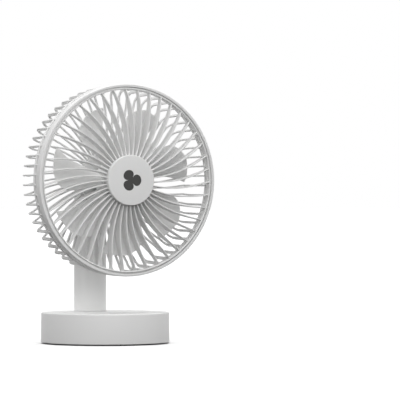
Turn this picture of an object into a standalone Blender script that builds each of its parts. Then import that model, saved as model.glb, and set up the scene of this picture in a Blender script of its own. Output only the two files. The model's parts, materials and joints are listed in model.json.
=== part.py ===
"""Compact rechargeable desk fan: round base, rear column and a caged head that tilts on the column.

Frame: metres, +Z up, the fan blows towards -Y. The origin is the middle of the base on the table.
Every piece of the fan is one named object. Empties carry the pieces that move together:
"head" sits on the tilt axis, "fan_axis" on the impeller's axis, and the button on its own.
"""
import math

import bmesh
import bpy
from mathutils import Matrix, Vector

MM = 0.001
TURN = 2.0 * math.pi

# ---- driving dimensions ---------------------------------------------------------------------
BASE_RADIUS = 63.15 * MM          # at the table; the side leans in a little towards the top
BASE_TOP_RADIUS = 62.7 * MM
BASE_BOTTOM = 1.3 * MM            # the feet lift the casing by this much
BASE_TOP = 30.5 * MM
WALL = 2.0 * MM
GAP = 0.3 * MM                    # clearance between neighbouring pieces

COLUMN_Y = 36.5 * MM              # the column stands behind the middle of the base
COLUMN_RADIUS = 16.0 * MM
HUB_Z = 159.5 * MM                # height of the tilt axis and of the impeller's axis

RING_RADIUS = 93.0 * MM           # outer radius of the cage
RING_FRONT = -54.0 * MM           # front plane of the cage's rim
# Angles round the head run clockwise as seen from the front, starting at +X.
RIB_COUNT = 60                    # ribs of the rear cage
RIB_PHASE = math.radians(3.0)
VANE_COUNT = 43                   # curved vanes of the front grille
VANE_PHASE = math.radians(26.0)
CAP_RADIUS = 24.3 * MM            # round cap in the middle of the front grille
CAP_FRONT = -61.6 * MM

BLADE_COUNT = 7
BLADE_TIP = 73.0 * MM
BLADE_MIDDLE = -34.5 * MM         # the blades' middle plane

SHAFT_RADIUS = 1.5 * MM
SHAFT_BORE = SHAFT_RADIUS + GAP
BUTTON_Y = -26.0 * MM
BUTTON_RADIUS = 8.0 * MM

# ---- finishes: base colour, roughness, metallic ------------------------------------------------
WHITE_PLASTIC = ((0.80, 0.80, 0.79), 0.45, 0.0)
GREY_PLASTIC = ((0.42, 0.43, 0.44), 0.50, 0.0)
DARK_PLASTIC = ((0.03, 0.03, 0.03), 0.40, 0.0)
CLEAR_PLASTIC = ((0.75, 0.85, 0.90), 0.15, 0.0)
BLACK_RUBBER = ((0.02, 0.02, 0.02), 0.85, 0.0)
STEEL = ((0.60, 0.60, 0.61), 0.30, 1.0)
MAGNET = ((0.12, 0.12, 0.13), 0.55, 0.3)
COPPER = ((0.72, 0.33, 0.16), 0.35, 1.0)
CIRCUIT_GREEN = ((0.02, 0.20, 0.09), 0.50, 0.0)
CELL_BLUE = ((0.08, 0.20, 0.52), 0.40, 0.0)


# ---- building blocks -----------------------------------------------------------------------------
def finish(obj, look):
    """Gives the object its own Principled material."""
    colour, roughness, metallic = look
    material = bpy.data.materials.new(obj.name + "_finish")
    material.use_nodes = True
    shader = material.node_tree.nodes["Principled BSDF"]
    shader.inputs["Base Color"].default_value = (*colour, 1.0)
    shader.inputs["Roughness"].default_value = roughness
    shader.inputs["Metallic"].default_value = metallic
    obj.data.materials.append(material)


def origin_of(carrier):
    """Where an empty stands in the fan's frame. The empties are moved but never turned."""
    return carrier.location + (origin_of(carrier.parent) if carrier.parent else Vector())


def place(obj, parent, at, turn=(0.0, 0.0, 0.0)):
    """Puts the object at a place given in the fan's frame, carried by an empty."""
    obj.parent = parent
    obj.location = Vector(at) - origin_of(parent)
    obj.rotation_euler = turn


def solid(name, bm, look, parent, at=(0.0, 0.0, 0.0), turn=(0.0, 0.0, 0.0), sharp_angle=40.0):
    """Turns a finished bmesh into a named, shaded and placed object."""
    bmesh.ops.recalc_face_normals(bm, faces=bm.faces)
    mesh = bpy.data.meshes.new(name)
    bm.to_mesh(mesh)
    bm.free()
    mesh.shade_smooth()
    mesh.set_sharp_from_angle(angle=math.radians(sharp_angle))
    obj = bpy.data.objects.new(name, mesh)
    bpy.context.scene.collection.objects.link(obj)
    place(obj, parent, at, turn)
    if look is None:
        obj.hide_render = True
        obj.display_type = "WIRE"
    else:
        finish(obj, look)
    return obj


def turned(outline, segments):
    """Spins an outline of (radius, height) points about Z. It is closed, or starts and ends on Z."""
    bm = bmesh.new()
    verts = [bm.verts.new((radius, 0.0, height)) for radius, height in outline]
    edges = [bm.edges.new(pair) for pair in zip(verts, verts[1:])]
    if outline[0][0] > 0.0:
        edges.append(bm.edges.new((verts[-1], verts[0])))
    bmesh.ops.spin(bm, geom=verts + edges, cent=(0.0, 0.0, 0.0), axis=(0.0, 0.0, 1.0),
                   angle=TURN, steps=segments, use_merge=True)
    bmesh.ops.remove_doubles(bm, verts=bm.verts, dist=1e-7)
    return bm


def rod(radius, low, high, segments=16, at=(0.0, 0.0), phase=0.0):
    """An upright cylinder standing at (x, y)."""
    bm = bmesh.new()
    add_rod(bm, radius, low, high, segments, at, phase)
    return bm


def add_rod(bm, radius, low, high, segments=16, at=(0.0, 0.0), phase=0.0):
    """Adds an upright cylinder to a bmesh that may hold several."""
    ends = [[bm.verts.new((at[0] + radius * math.cos(phase + TURN * k / segments),
                           at[1] + radius * math.sin(phase + TURN * k / segments), height))
             for k in range(segments)] for height in (low, high)]
    bm.faces.new(ends[0][::-1])
    bm.faces.new(ends[1])
    for k in range(segments):
        n = (k + 1) % segments
        bm.faces.new((ends[0][k], ends[0][n], ends[1][n], ends[1][k]))


def rods(radius, low, high, places, segments=16):
    """Several equal upright cylinders in one bmesh."""
    bm = bmesh.new()
    for spot in places:
        add_rod(bm, radius, low, high, segments, spot)
    return bm


def block(low, high):
    """A box between two corners."""
    bm = bmesh.new()
    bmesh.ops.create_cube(bm, size=1.0)
    size = [b - a for a, b in zip(low, high)]
    middle = [(a + b) / 2.0 for a, b in zip(low, high)]
    bmesh.ops.scale(bm, vec=size, verts=bm.verts)
    bmesh.ops.translate(bm, vec=middle, verts=bm.verts)
    return bm


def extruded(outline, low, high):
    """An outline of (x, y) points, in order round the shape, raised from one height to another."""
    bm = bmesh.new()
    face = bm.faces.new([bm.verts.new((x, y, low)) for x, y in outline])
    raised = bmesh.ops.extrude_face_region(bm, geom=[face])["geom"]
    top = [item for item in raised if isinstance(item, bmesh.types.BMVert)]
    bmesh.ops.translate(bm, vec=(0.0, 0.0, high - low), verts=top)
    return bm


def aimed(bm, axis, at):
    """Lays an upright shape along X or Y and moves it."""
    turns = {"X": ("Y", 90.0), "Y": ("X", -90.0)}
    about, degrees = turns[axis]
    turn = Matrix.Rotation(math.radians(degrees), 3, about)
    bmesh.ops.rotate(bm, cent=(0.0, 0.0, 0.0), matrix=turn, verts=bm.verts)
    bmesh.ops.translate(bm, vec=at, verts=bm.verts)
    return bm


def arc(centre, radius, start, end, steps):
    """Points along an arc, ends included, angles in degrees."""
    angles = [math.radians(start + (end - start) * k / steps) for k in range(steps + 1)]
    return [(centre[0] + radius * math.cos(a), centre[1] + radius * math.sin(a)) for a in angles]


def ring_of(count, radius, phase=0.0):
    """Points evenly spaced on a circle."""
    angles = [math.radians(phase) + TURN * k / count for k in range(count)]
    return [(radius * math.cos(a), radius * math.sin(a)) for a in angles]


def combine(obj, operation, bm):
    """Cuts a bmesh out of the object or joins it on, with a hidden helper as the operand."""
    number = sum(1 for modifier in obj.modifiers if modifier.type == "BOOLEAN") + 1
    helper = solid(f"{obj.name}_{operation.lower()}_{number}", bm, None, obj.parent)
    helper.location = obj.location
    helper.rotation_euler = obj.rotation_euler
    modifier = obj.modifiers.new(f"{operation.title()} {number}", "BOOLEAN")
    modifier.operation = operation
    modifier.solver = "EXACT"
    modifier.object = helper


def empty(name, at, parent=None):
    carrier = bpy.data.objects.new(name, None)
    bpy.context.scene.collection.objects.link(carrier)
    carrier.parent = parent
    carrier.location = Vector(at) - (origin_of(parent) if parent else Vector())
    return carrier


# ---- cages: two rings joined by ribs, in one closed mesh -------------------------------------------
def ring_columns(bm, outline, angles):
    """One column of vertices at each angle, following a closed (radius, height) outline."""
    return [[bm.verts.new((r * math.cos(a), r * math.sin(a), h)) for r, h in outline] for a in angles]


def skin_ring(bm, columns, per_rib, socket):
    """Skins a ring, leaving one opening in the outline's socket edge under each rib."""
    for c, column in enumerate(columns):
        following = columns[(c + 1) % len(columns)]
        for k, vert in enumerate(column):
            n = (k + 1) % len(column)
            if c % per_rib == 0 and k == socket:
                continue
            bm.faces.new((vert, column[n], following[n], following[k]))


def socket_loop(columns, index, socket):
    """The four corners of a ring's opening, in the order of a rib's section."""
    left, right = columns[index], columns[(index + 1) % len(columns)]
    return [left[socket], right[socket], right[socket + 1], left[socket + 1]]


def rib_loop(bm, first, second, angle, half_thickness):
    """A rib's section between two (radius, height) edges, at an angle about Z."""
    corners = []
    for (radius, height), side in ((first, -1), (first, 1), (second, 1), (second, -1)):
        a = angle + side * half_thickness / radius
        corners.append(bm.verts.new((radius * math.cos(a), radius * math.sin(a), height)))
    return corners


def skin_rib(bm, loops, hoop):
    """Joins a rib's sections. Its two sides stay open along the hoop's stretch, if there is one."""
    for s, (near, far) in enumerate(zip(loops, loops[1:])):
        for e in range(4):
            if s == hoop and e in (1, 3):
                continue
            n = (e + 1) % 4
            bm.faces.new((near[e], near[n], far[n], far[e]))


def skin_hoop(bm, rib, following, hoop):
    """One stretch of a hoop between two ribs."""
    near, far = rib[hoop], rib[hoop + 1]
    next_near, next_far = following[hoop], following[hoop + 1]
    start = (near[1], near[2], far[2], far[1])
    end = (next_near[0], next_near[3], next_far[3], next_far[0])
    for k in range(4):
        n = (k + 1) % 4
        bm.faces.new((start[k], start[n], end[n], end[k]))


def cage(count, phase, half_thickness, outer, outer_socket, inner, inner_socket, stations, sweep,
         hoop=None):
    """A ring, a hub and the ribs between them.

    outer and inner are closed outlines of (radius, height); a rib starts on the outline edge
    that its socket numbers. stations are the rib's sections, each two edges and a fraction of
    the sweep that the rib has made on its way to the hub.
    """
    bm = bmesh.new()
    rings = []
    for outline, socket, turn in ((outer, outer_socket, 0.0), (inner, inner_socket, sweep)):
        half_angle = half_thickness / outline[socket][0]
        middles = [phase + turn + TURN * k / count for k in range(count)]
        angles = [m + side * half_angle for m in middles for side in (-1, 1)]
        columns = ring_columns(bm, outline, angles)
        skin_ring(bm, columns, 2, socket)
        rings.append(columns)
    ribs = []
    for k in range(count):
        middle = phase + TURN * k / count
        loops = [socket_loop(rings[0], 2 * k, outer_socket)]
        for first, second, share in stations:
            loops.append(rib_loop(bm, first, second, middle + sweep * share, half_thickness))
        loops.append(socket_loop(rings[1], 2 * k, inner_socket))
        skin_rib(bm, loops, hoop)
        ribs.append(loops)
    if hoop is not None:
        for k in range(count):
            skin_hoop(bm, ribs[k], ribs[(k + 1) % count], hoop)
    return bm


# ---- the stand -------------------------------------------------------------------------------------
FOOT_RADIUS = 7.3 * MM
FOOT_RECESS = 1.0 * MM
FEET = {"foot_front": (0.0, -52.0 * MM), "foot_rear_left": (-45.0 * MM, 26.0 * MM),
        "foot_rear_right": (45.0 * MM, 26.0 * MM)}
BASE_SCREWS = [(-44.0 * MM, -30.0 * MM), (44.0 * MM, -30.0 * MM),
               (-50.0 * MM, 12.0 * MM), (50.0 * MM, 12.0 * MM)]
PLATE_TOP = 4.3 * MM
PLATE_RADIUS = BASE_TOP_RADIUS - WALL - 2 * GAP
SCREW_HEAD = 2.8 * MM
SCREW_SHANK = 1.2 * MM
NUT_RADIUS = 4.4 * MM             # across the corners
BOSS_RADIUS = 3.2 * MM
LENS_Y = -41.0 * MM
LENS_RADIUS = 1.3 * MM
SOCKET_Z = 12.0 * MM
CABLE_HOLE = 5.0 * MM
COLUMN_SCREWS = [(x, y + COLUMN_Y) for x, y in ring_of(3, 10.0 * MM, 90.0)]
CELL_RADIUS = 9.2 * MM
CELL_LENGTH = 65.0 * MM
CELL_Z = 15.6 * MM
CELL_ROWS = (6.0 * MM, 26.0 * MM)
BOARD_LOW = 20.0 * MM
BOARD_THICKNESS = 1.6 * MM
ALONG_X = (0.0, math.radians(90.0), 0.0)
ALONG_Y = (math.radians(-90.0), 0.0, 0.0)


def screw(name, parent, at, length, turn=(0.0, 0.0, 0.0), head_height=1.1 * MM):
    """A pan-head screw whose head's underside is at the given place, its shank up local Z."""
    outline = [(0.0, -head_height), (SCREW_HEAD, -head_height), (SCREW_HEAD, 0.0),
               (SCREW_SHANK, 0.0), (SCREW_SHANK, length), (0.0, length)]
    return solid(name, turned(outline, 8), STEEL, parent, at, turn)


def hex_nut(name, parent, at, turn, low, high, bore):
    """A hexagon nut lying between two heights on its axis."""
    nut = solid(name, rod(NUT_RADIUS, low, high, 6), STEEL, parent, at, turn)
    combine(nut, "DIFFERENCE", rod(bore, low - WALL, high + WALL, 16))


def make_base(stand):
    inner = BASE_TOP_RADIUS - WALL
    ceiling = BASE_TOP - WALL
    shell = solid("base_shell", turned([
        (0.0, ceiling), (inner, ceiling), (inner, BASE_BOTTOM), (BASE_RADIUS, BASE_BOTTOM),
        (BASE_TOP_RADIUS, BASE_TOP - 0.6 * MM), (BASE_TOP_RADIUS - 0.6 * MM, BASE_TOP),
        (0.0, BASE_TOP)], 48), WHITE_PLASTIC, stand)
    combine(shell, "UNION", rods(BOSS_RADIUS, PLATE_TOP + GAP, ceiling + WALL / 2, BASE_SCREWS, 10))
    combine(shell, "DIFFERENCE", rods(SCREW_SHANK + GAP, 0.0, 15.0 * MM, BASE_SCREWS, 8))
    above, below = BASE_TOP + WALL, ceiling - WALL
    combine(shell, "DIFFERENCE", rod(BUTTON_RADIUS + GAP, below, above, 24, (0.0, BUTTON_Y)))
    combine(shell, "DIFFERENCE", rod(LENS_RADIUS + GAP, below, above, 12, (0.0, LENS_Y)))
    combine(shell, "DIFFERENCE", rod(CABLE_HOLE, below, above, 16, (0.0, COLUMN_Y)))
    combine(shell, "DIFFERENCE", rods(SCREW_SHANK + GAP, below, above, COLUMN_SCREWS, 8))
    combine(shell, "DIFFERENCE", block((-5.0 * MM, 55.0 * MM, SOCKET_Z - 2.2 * MM),
                                       (5.0 * MM, 70.0 * MM, SOCKET_Z + 2.2 * MM)))

    plate = solid("base_plate", turned([
        (0.0, BASE_BOTTOM), (PLATE_RADIUS, BASE_BOTTOM), (PLATE_RADIUS, PLATE_TOP),
        (0.0, PLATE_TOP)], 48), WHITE_PLASTIC, stand)
    posts = [(x, y) for x in (-20.0 * MM, 20.0 * MM) for y in (-44.0 * MM, -14.0 * MM)]
    combine(plate, "UNION", rods(BOSS_RADIUS, PLATE_TOP - WALL, BOARD_LOW - GAP, posts, 8))
    combine(plate, "DIFFERENCE", rods(FOOT_RADIUS + GAP, 0.0, BASE_BOTTOM + FOOT_RECESS,
                                      FEET.values(), 20))
    combine(plate, "DIFFERENCE", rods(SCREW_SHANK + GAP, 0.0, 2 * PLATE_TOP, BASE_SCREWS, 8))
    combine(plate, "DIFFERENCE", rods(SCREW_HEAD + GAP, 0.0, 3.0 * MM, BASE_SCREWS, 12))

    foot_top = BASE_BOTTOM + FOOT_RECESS - GAP
    for name, (x, y) in FEET.items():
        solid(name, turned([(0.0, 0.0), (FOOT_RADIUS - 0.4 * MM, 0.0), (FOOT_RADIUS, 0.4 * MM),
                            (FOOT_RADIUS, foot_top), (0.0, foot_top)], 20),
              BLACK_RUBBER, stand, (x, y, 0.0))
    for number, (x, y) in enumerate(BASE_SCREWS, 1):
        screw(f"base_screw_{number}", stand, (x, y, 3.0 * MM - GAP), 11.0 * MM)


def make_power(stand):
    """Cells in their cradle, the two circuit boards, the charging socket, the switch and the light."""
    tray_top = 10.0 * MM
    half_length = CELL_LENGTH / 2
    cradle = solid("battery_cradle", block(
        (-half_length - 3.0 * MM, CELL_ROWS[0] - 11.0 * MM, PLATE_TOP + GAP),
        (half_length + 3.0 * MM, CELL_ROWS[1] + 11.0 * MM, tray_top)), GREY_PLASTIC, stand)
    for number, row in enumerate(CELL_ROWS, 1):
        groove = rod(CELL_RADIUS + GAP, -half_length - GAP, half_length + GAP, 20)
        combine(cradle, "DIFFERENCE", aimed(groove, "X", (0.0, row, CELL_Z)))
        nub = half_length - 1.2 * MM
        outline = [(0.0, -half_length), (CELL_RADIUS - 0.5 * MM, -half_length),
                   (CELL_RADIUS, -half_length + 0.5 * MM), (CELL_RADIUS, nub - 0.5 * MM),
                   (CELL_RADIUS - 0.5 * MM, nub), (3.0 * MM, nub), (3.0 * MM, half_length),
                   (0.0, half_length)]
        solid(f"battery_cell_{number}", turned(outline, 16), CELL_BLUE, stand,
              (0.0, row, CELL_Z), ALONG_X)

    board_top = BOARD_LOW + BOARD_THICKNESS
    solid("control_board", block((-26.0 * MM, -48.0 * MM, BOARD_LOW),
                                 (26.0 * MM, -10.0 * MM, board_top)), CIRCUIT_GREEN, stand)
    switch = solid("tact_switch", block(
        (-3.0 * MM, BUTTON_Y - 3.0 * MM, board_top + GAP),
        (3.0 * MM, BUTTON_Y + 3.0 * MM, board_top + 2.0 * MM)), DARK_PLASTIC, stand)
    combine(switch, "UNION", rod(1.6 * MM, board_top + 1.0 * MM, board_top + 2.6 * MM, 12,
                                 (0.0, BUTTON_Y)))
    solid("indicator_lens", turned([
        (0.0, board_top + GAP), (2.2 * MM, board_top + GAP), (2.2 * MM, board_top + 1.8 * MM),
        (LENS_RADIUS, board_top + 1.8 * MM), (LENS_RADIUS, BASE_TOP - 0.1 * MM),
        (0.0, BASE_TOP - 0.1 * MM)], 10), CLEAR_PLASTIC, stand, (0.0, LENS_Y, 0.0))

    socket_low = SOCKET_Z - 1.7 * MM
    charger_top = socket_low - GAP
    solid("charging_board", block((-12.0 * MM, 40.0 * MM, charger_top - BOARD_THICKNESS),
                                  (12.0 * MM, 58.0 * MM, charger_top)), CIRCUIT_GREEN, stand)
    port = solid("usb_socket", block((-4.5 * MM, 54.0 * MM, socket_low),
                                     (4.5 * MM, 62.0 * MM, SOCKET_Z + 1.7 * MM)), STEEL, stand)
    combine(port, "DIFFERENCE", block((-4.1 * MM, 55.5 * MM, socket_low + 0.4 * MM),
                                      (4.1 * MM, 64.0 * MM, SOCKET_Z + 1.3 * MM)))
    combine(port, "UNION", block((-3.3 * MM, 55.0 * MM, SOCKET_Z - 0.35 * MM),
                                 (3.3 * MM, 60.5 * MM, SOCKET_Z + 0.35 * MM)))


def make_button(button):
    """The flush power button: its cap, the collar that keeps it in, and the stem to the switch."""
    collar_top = BASE_TOP - WALL - GAP
    collar_low = collar_top - 1.2 * MM
    stem_low = collar_low - 1.2 * MM
    outline = [(0.0, stem_low), (1.5 * MM, stem_low), (1.5 * MM, collar_low),
               (BUTTON_RADIUS + 1.5 * MM, collar_low), (BUTTON_RADIUS + 1.5 * MM, collar_top),
               (BUTTON_RADIUS, collar_top), (BUTTON_RADIUS, BASE_TOP - 0.3 * MM),
               (BUTTON_RADIUS - 0.3 * MM, BASE_TOP), (0.0, BASE_TOP)]
    local = [(radius, height - BASE_TOP) for radius, height in outline]
    solid("power_button", turned(local, 24), WHITE_PLASTIC, button, (0.0, BUTTON_Y, BASE_TOP))


DOME_RISE = 3.5 * MM              # from the tilt axis up to where the dome begins
SLOT_HALF = 6.4 * MM
SLOT_FLOOR = 146.0 * MM
SLOT_REACH = 11.0 * MM            # the slot ends this far behind the tilt axis
LUG_RADIUS = 9.5 * MM
LUG_HALF = 4.6 * MM
BOLT_RADIUS = 2.2 * MM
BOLT_HEAD = 4.4 * MM
BOLT_HEAD_HEIGHT = 2.0 * MM
EAR_SEAT = 11.0 * MM              # distance from the middle to the seats of the bolt head and nut
EAR_CAP_INNER = 13.6 * MM
EAR_CAP_OUTER = 15.0 * MM
CAVITY_FLOOR = 40.0 * MM
CAVITY_TOP = 142.0 * MM
CABLE_RADIUS = 1.4 * MM


def make_column(stand):
    """A round tube with a domed top; the slot in the dome takes the head's lug."""
    bottom = BASE_TOP + GAP
    hollow = COLUMN_RADIUS - 2.4 * MM
    shoulder = HUB_Z + DOME_RISE
    dome = [point for point in arc((0.0, shoulder), COLUMN_RADIUS, 0.0, 90.0, 5)
            if point[0] > CABLE_HOLE]
    dome_end = shoulder + math.sqrt(COLUMN_RADIUS ** 2 - CABLE_HOLE ** 2)
    outline = [(CABLE_HOLE, bottom), (COLUMN_RADIUS, bottom)] + dome + [
        (CABLE_HOLE, dome_end), (CABLE_HOLE, CAVITY_TOP), (hollow, CAVITY_TOP),
        (hollow, CAVITY_FLOOR), (CABLE_HOLE, CAVITY_FLOOR)]
    column = solid("column", turned(outline, 32), WHITE_PLASTIC, stand, (0.0, COLUMN_Y, 0.0))
    combine(column, "DIFFERENCE", block((-SLOT_HALF, -2 * COLUMN_RADIUS, SLOT_FLOOR),
                                        (SLOT_HALF, SLOT_REACH, HUB_Z + 2 * COLUMN_RADIUS)))
    through = rod(BOLT_RADIUS + GAP, -2 * COLUMN_RADIUS, 2 * COLUMN_RADIUS, 16)
    combine(column, "DIFFERENCE", aimed(through, "X", (0.0, 0.0, HUB_Z)))
    for side in (-1, 1):
        seat = rod(BOLT_HEAD + GAP, 0.0, COLUMN_RADIUS, 16)
        start = EAR_SEAT if side > 0 else -EAR_SEAT - COLUMN_RADIUS
        combine(column, "DIFFERENCE", aimed(seat, "X", (start, 0.0, HUB_Z)))
    holes = [(x, y - COLUMN_Y) for x, y in COLUMN_SCREWS]
    combine(column, "DIFFERENCE", rods(SCREW_SHANK + GAP, 0.0, bottom + 7.0 * MM, holes, 8))
    for number, (x, y) in enumerate(COLUMN_SCREWS, 1):
        screw(f"column_screw_{number}", stand, (x, y, BASE_TOP - WALL - GAP), 8.0 * MM)


def make_tilt_hardware(stand, head):
    """The bolt, nut and side caps in the column's ears, and the friction washers on the lug."""
    axis = (0.0, COLUMN_Y, HUB_Z)
    seat = EAR_SEAT + GAP
    nut_depth = 2.0 * MM
    nut_inner = -seat - nut_depth
    solid("tilt_bolt", turned([
        (0.0, nut_inner), (BOLT_RADIUS, nut_inner), (BOLT_RADIUS, seat), (BOLT_HEAD, seat),
        (BOLT_HEAD, seat + BOLT_HEAD_HEIGHT), (0.0, seat + BOLT_HEAD_HEIGHT)], 16),
          STEEL, stand, axis, ALONG_X)
    nut_bore = BOLT_RADIUS + GAP
    hex_nut("tilt_nut", stand, axis, ALONG_X, nut_inner, -seat, nut_bore)
    for name, side in (("left", -1), ("right", 1)):
        low, high = sorted((side * EAR_CAP_INNER, side * EAR_CAP_OUTER))
        solid(f"pivot_cap_{name}", rod(BOLT_HEAD, low, high, 16), WHITE_PLASTIC, stand, axis, ALONG_X)
        low, high = sorted((side * (LUG_HALF + GAP), side * (SLOT_HALF - GAP)))
        solid(f"friction_washer_{name}", turned([
            (nut_bore, low), (6.0 * MM, low), (6.0 * MM, high), (nut_bore, high)], 16),
              DARK_PLASTIC, head, axis, ALONG_X)


def make_cable(stand):
    """The motor's lead, from the control board over the cells and up inside the column."""
    over_cells = 26.6 * MM
    route = [(0.0, -12.0 * MM, 23.4 * MM), (0.0, -9.0 * MM, 24.6 * MM), (0.0, -4.0 * MM, over_cells),
             (0.0, 29.0 * MM, over_cells), (0.0, 33.5 * MM, 27.4 * MM), (0.0, 36.0 * MM, 30.0 * MM),
             (0.0, COLUMN_Y, 35.0 * MM), (0.0, COLUMN_Y, SLOT_FLOOR - 1.0 * MM)]
    curve = bpy.data.curves.new("motor_lead", "CURVE")
    curve.dimensions = "3D"
    curve.bevel_depth = CABLE_RADIUS
    curve.bevel_resolution = 2
    curve.use_fill_caps = True
    spline = curve.splines.new("POLY")
    spline.points.add(len(route) - 1)
    for point, stop in zip(spline.points, route):
        point.co = (*stop, 1.0)
    lead = bpy.data.objects.new("motor_lead", curve)
    bpy.context.scene.collection.objects.link(lead)
    place(lead, stand, (0.0, 0.0, 0.0))
    finish(lead, DARK_PLASTIC)


# ---- the head ----------------------------------------------------------------------------------------
RIM_DEPTH = 8.6 * MM              # the rim's outer band, front to back
RING_INNER = 87.6 * MM            # inner radius of the front grille's ring
RING_OUTER = 90.0 * MM
RIB_DEPTH = 3.6 * MM
RIB_HALF = 0.75 * MM
ELBOW_Y = -11.8 * MM              # where the ribs start to turn inwards
ELBOW_RADIUS = 8.0 * MM
ELBOW_OUTER = 91.6 * MM           # outer radius of the ribs there
ELBOW_TURN = 80.0
REAR_SWEEP = math.radians(9.0)    # how far a rib turns on its way from the elbow to the hub
HOOP_Y = (-41.2 * MM, -38.8 * MM)
REAR_HUB_RADIUS = 27.0 * MM
REAR_HUB_OPENING = 20.4 * MM
REAR_HUB = (1.0 * MM, 4.6 * MM)
VANE_HALF = 0.7 * MM
VANE_SWEEP = math.radians(10.4)   # from the ring to the hub
VANE_DEPTH = 9.3 * MM
VANE_TIP = 3.2 * MM               # a vane's depth where it meets the ring
TAPER_START = 0.65                # where a vane's depth starts to shrink, from hub 0 to ring 1
VANE_STATIONS = (0.86, 0.66, 0.33)   # fractions of the way from the hub to the ring
FRONT_RING = (-54.3 * MM, -47.2 * MM)
RING_LIP = 0.5 * MM               # the ring's front face slopes back by this much
FRONT_HUB_RADIUS = 22.9 * MM
FRONT_HUB = (-56.9 * MM, -47.6 * MM)
CAP_STEM = 5.6 * MM
CAP_BACK = FRONT_HUB[0] - GAP
EMBLEM_RADIUS = 10.6 * MM
EMBLEM_RECESS = 0.8 * MM


def make_rear_grille(head):
    """Rim, ribs that run straight back and turn in at an elbow, one hoop, and the rear hub."""
    back = RING_FRONT + RIM_DEPTH
    shelf = back - 1.5 * MM
    rib_inner = RING_RADIUS - RIB_DEPTH
    rim_inner = RING_OUTER + GAP
    rim = [(RING_RADIUS, RING_FRONT), (RING_RADIUS, back), (rib_inner, back), (rib_inner, shelf),
           (rim_inner, shelf), (rim_inner, RING_FRONT)]
    hub = [(REAR_HUB_OPENING, REAR_HUB[0]), (REAR_HUB_OPENING, REAR_HUB[1]),
           (REAR_HUB_RADIUS, REAR_HUB[1]), (REAR_HUB_RADIUS, REAR_HUB[0])]
    stations = [((RING_RADIUS, y), (rib_inner, y), 0.0) for y in HOOP_Y]
    centre = (ELBOW_OUTER - RIB_DEPTH / 2 - ELBOW_RADIUS, ELBOW_Y)
    for step in range(3):
        a = math.radians(ELBOW_TURN * step / 2)
        edges = [(centre[0] + (ELBOW_RADIUS + side * RIB_DEPTH / 2) * math.cos(a),
                  centre[1] + (ELBOW_RADIUS + side * RIB_DEPTH / 2) * math.sin(a))
                 for side in (1, -1)]
        stations.append((*edges, 0.0))
    bm = cage(RIB_COUNT, RIB_PHASE, RIB_HALF, rim, 1, hub, 2, stations, REAR_SWEEP, hoop=1)
    solid("rear_grille", bm, WHITE_PLASTIC, head, (0.0, 0.0, HUB_Z), ALONG_Y)


def vane_section(fraction):
    """A vane's front edge, depth and share of the sweep, at a fraction of the way to the ring.

    The front stays nearly flat, then falls back to the ring as the vane gets shallower.
    """
    fall = 0.15 * fraction + 0.85 * fraction ** 8
    front = FRONT_HUB[0] + (FRONT_RING[0] + RING_LIP - FRONT_HUB[0]) * fall
    taper = max(0.0, (fraction - TAPER_START) / (1.0 - TAPER_START))
    depth = VANE_DEPTH - (VANE_DEPTH - VANE_TIP) * taper ** 2 * (3.0 - 2.0 * taper)
    share = 1.0 - (2.0 * fraction ** 2 - fraction ** 3)
    return front, depth, share


def make_front_grille(head):
    """Ring, curved vanes set on edge, and the hub that takes the cap."""
    ring_front = FRONT_RING[0] + RING_LIP
    ring = [(RING_INNER, ring_front), (RING_INNER, ring_front + VANE_TIP),
            (RING_INNER, FRONT_RING[1]), (RING_OUTER, FRONT_RING[1]), (RING_OUTER, FRONT_RING[0])]
    plate_back = FRONT_HUB[0] + 1.8 * MM
    hub = [(FRONT_HUB_RADIUS, FRONT_HUB[0]), (FRONT_HUB_RADIUS, FRONT_HUB[1]),
           (FRONT_HUB_RADIUS - WALL, FRONT_HUB[1]), (FRONT_HUB_RADIUS - WALL, plate_back),
           (CAP_STEM + GAP, plate_back), (CAP_STEM + GAP, FRONT_HUB[0])]
    stations = []
    for fraction in VANE_STATIONS:
        radius = FRONT_HUB_RADIUS + fraction * (RING_INNER - FRONT_HUB_RADIUS)
        front, depth, share = vane_section(fraction)
        stations.append(((radius, front), (radius, front + depth), share))
    bm = cage(VANE_COUNT, VANE_PHASE, VANE_HALF, ring, 0, hub, 0, stations, VANE_SWEEP)
    solid("front_grille", bm, WHITE_PLASTIC, head, (0.0, 0.0, HUB_Z), ALONG_Y)

    recess = CAP_FRONT + EMBLEM_RECESS
    cap = [(0.0, recess), (EMBLEM_RADIUS + GAP, recess), (EMBLEM_RADIUS + GAP, CAP_FRONT),
           (CAP_RADIUS - 0.6 * MM, CAP_FRONT), (CAP_RADIUS, CAP_FRONT + 0.6 * MM),
           (CAP_RADIUS, CAP_BACK), (CAP_STEM, CAP_BACK), (CAP_STEM, CAP_BACK + 3.2 * MM),
           (0.0, CAP_BACK + 3.2 * MM)]
    solid("hub_cap", turned(cap, 40), WHITE_PLASTIC, head, (0.0, 0.0, HUB_Z), ALONG_Y)
    lobes = []
    for k in range(30):
        angle = TURN * k / 30
        radius = EMBLEM_RADIUS * (0.66 + 0.34 * math.cos(3.0 * angle))
        twisted = angle + 0.30 * math.sin(3.0 * angle)
        lobes.append((radius * math.cos(twisted), radius * math.sin(twisted)))
    solid("cap_emblem", extruded(lobes, CAP_FRONT + 0.1 * MM, recess - GAP), DARK_PLASTIC, head,
          (0.0, 0.0, HUB_Z), ALONG_Y)


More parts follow.
